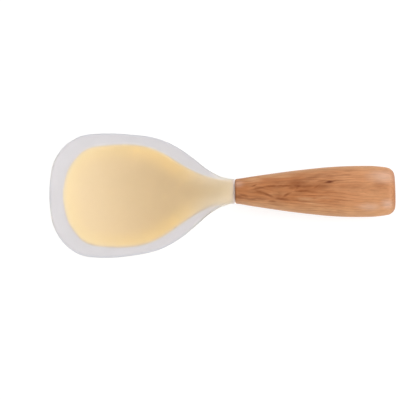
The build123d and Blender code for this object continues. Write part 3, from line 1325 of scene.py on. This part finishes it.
@dataclass
class HiddenPieces:
    """The steel insert and the glue round its tang, which keep their solids and get their finishes."""

    steel: StampedSteel = field(default_factory=StampedSteel)
    glue: CuredEpoxy = field(default_factory=CuredEpoxy)

    def dress(self) -> list[bpy.types.Object]:
        """Gives each solid its finish.

        Returns:
            The solids.
        """
        finishes = {"steel_insert": self.steel.material(), "tang_glue": self.glue.material()}
        solids = []
        for name, material in finishes.items():
            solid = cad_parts[name]
            solid.data.materials.clear()
            solid.data.materials.append(material)
            solids.append(solid)
        return solids


# Studio


class Lamp(Enum):
    """The soft lamps: where each stands, how wide it is and its power."""

    KEY = ((1.00, -0.05, 0.80), 0.80, 9.8)
    FILL = ((-0.50, -0.85, 0.90), 0.90, 3.9)
    BACK = ((-0.10, 0.95, 0.80), 0.90, 3.5)

    def __init__(self, place: Place, size: float, power: float) -> None:
        """Reads a lamp's row.

        Args:
            place: Where it stands.
            size: How wide it is.
            power: Its power in watts.
        """
        self.place = place
        self.size = size
        self.power = power


@dataclass
class Studio:
    """The white floor, the soft lamps and the camera above the paddle.

    The camera's tilt and roll are in degrees. The floor's shade and glow are given for the light that reaches
    the paddle and for the eye. The sky's value is the strength of its light, and shown is its strength to the
    eye, and that of sky and floor in reflections.
    """

    centre: Place = (-0.01366, -0.0038, 0.009)
    tilt: float = 15.0
    roll: float = 0.75
    distance: float = 1.353
    lens: float = 200.0
    sensor: float = 36.0
    floor_reach: float = 2.0
    floor_drop: float = 0.00003
    sky: float = 0.49
    floor_shade: Span = (0.8, 0.30)
    floor_glow: Span = (0.35, 0.80)
    shown: float = 1.0

    def lay_floor(self) -> bpy.types.Object:
        """Lays the floor: white to the eye and in reflections, with a faint shadow.

        Returns:
            The floor.
        """
        bm = bmesh.new()
        bmesh.ops.create_grid(bm, x_segments=1, y_segments=1, size=self.floor_reach)
        bmesh.ops.translate(bm, verts=bm.verts, vec=(0, 0, -self.floor_drop))
        mesh = bpy.data.meshes.new("floor")
        bm.to_mesh(mesh)
        bm.free()
        floor = bpy.data.objects.new("floor", mesh)
        bpy.context.scene.collection.objects.link(floor)
        mesh.materials.append(self.floor_paint())
        return floor

    def floor_paint(self) -> bpy.types.Material:
        """Mixes the floor's material.

        Returns:
            The material.
        """
        material = bpy.data.materials.new("floor_paint")
        bench = clear_nodes(material)
        rays = bench.add("ShaderNodeLightPath").outputs
        shade = bench.spread(rays["Is Camera Ray"], 0.0, 1.0, *self.floor_shade)
        paint = bench.add("ShaderNodeBsdfDiffuse", {"Color": shade})
        strength = bench.spread(rays["Is Camera Ray"], 0.0, 1.0, *self.floor_glow)
        glow = bench.add("ShaderNodeEmission", {"Strength": strength})
        lit = bench.add("ShaderNodeAddShader", {0: paint.outputs["BSDF"], 1: glow.outputs["Emission"]})
        plain = bench.add("ShaderNodeEmission", {"Strength": self.shown})
        mirrored = bench.math("MAXIMUM", rays["Is Glossy Ray"], rays["Is Transmission Ray"])
        sides = {1: lit.outputs["Shader"], 2: plain.outputs["Emission"]}
        shown = bench.add("ShaderNodeMixShader", {"Fac": mirrored, **sides})
        bench.add("ShaderNodeOutputMaterial", {"Surface": shown.outputs["Shader"]})
        return material

    def light_sky(self) -> None:
        """The world: soft light on the object, and brighter to the eye and in reflections."""
        world = bpy.data.worlds.new("studio")
        bench = clear_nodes(world)
        rays = bench.add("ShaderNodeLightPath").outputs
        mirrored = bench.math("MAXIMUM", rays["Is Glossy Ray"], rays["Is Transmission Ray"])
        seen = bench.math("MAXIMUM", rays["Is Camera Ray"], mirrored)
        strength = bench.spread(seen, 0.0, 1.0, self.sky, self.shown)
        background = bench.add("ShaderNodeBackground", {"Strength": strength})
        bench.add("ShaderNodeOutputWorld", {"Surface": background.outputs["Background"]})
        bpy.context.scene.world = world

    def hang_lamps(self) -> None:
        """Hangs the soft lamps, each turned to the paddle."""
        for lamp in Lamp:
            light = bpy.data.lights.new(lamp.name.lower(), "AREA")
            light.shape = "DISK"
            light.size = lamp.size
            light.energy = lamp.power
            thing = bpy.data.objects.new(lamp.name.lower(), light)
            thing.location = lamp.place
            aim = Vector(self.centre) - Vector(lamp.place)
            thing.rotation_euler = aim.to_track_quat("-Z", "Y").to_euler()
            bpy.context.scene.collection.objects.link(thing)

    def set_camera(self) -> None:
        """The camera, which looks down on the paddle through a long lens and from a little to one side."""
        data = bpy.data.cameras.new("camera")
        data.lens = self.lens
        data.sensor_width = self.sensor
        camera = bpy.data.objects.new("camera", data)
        lean = Matrix.Rotation(math.radians(self.tilt), 4, "X")
        turn = lean @ Matrix.Rotation(math.radians(-self.roll), 4, "Z")
        back = Matrix.Translation((0, 0, self.distance))
        camera.matrix_world = Matrix.Translation(self.centre) @ turn @ back
        bpy.context.scene.collection.objects.link(camera)
        bpy.context.scene.camera = camera

    def set_up(self) -> None:
        """Makes the whole studio."""
        bpy.context.scene.view_settings.view_transform = "Standard"
        self.set_camera()
        self.lay_floor()
        self.light_sky()
        self.hang_lamps()


def main() -> None:
    """Builds the paddle and its studio."""
    logging.basicConfig(level=logging.INFO, format="%(message)s")
    Studio().set_up()
    blade = Blade(BladeForm(tip_x=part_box("silicone_skin")[0].x))
    handle = Handle(front_x=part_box("handle")[0].x)
    pieces = [blade.build_skin(), blade.build_core(), handle.build(), *HiddenPieces().dress()]
    for piece in pieces:
        finish = piece.data.materials[0].name
        log.info("%s: %d faces as built, in %s", piece.name, len(piece.data.polygons), finish)


if __name__ == "__main__":
    main()
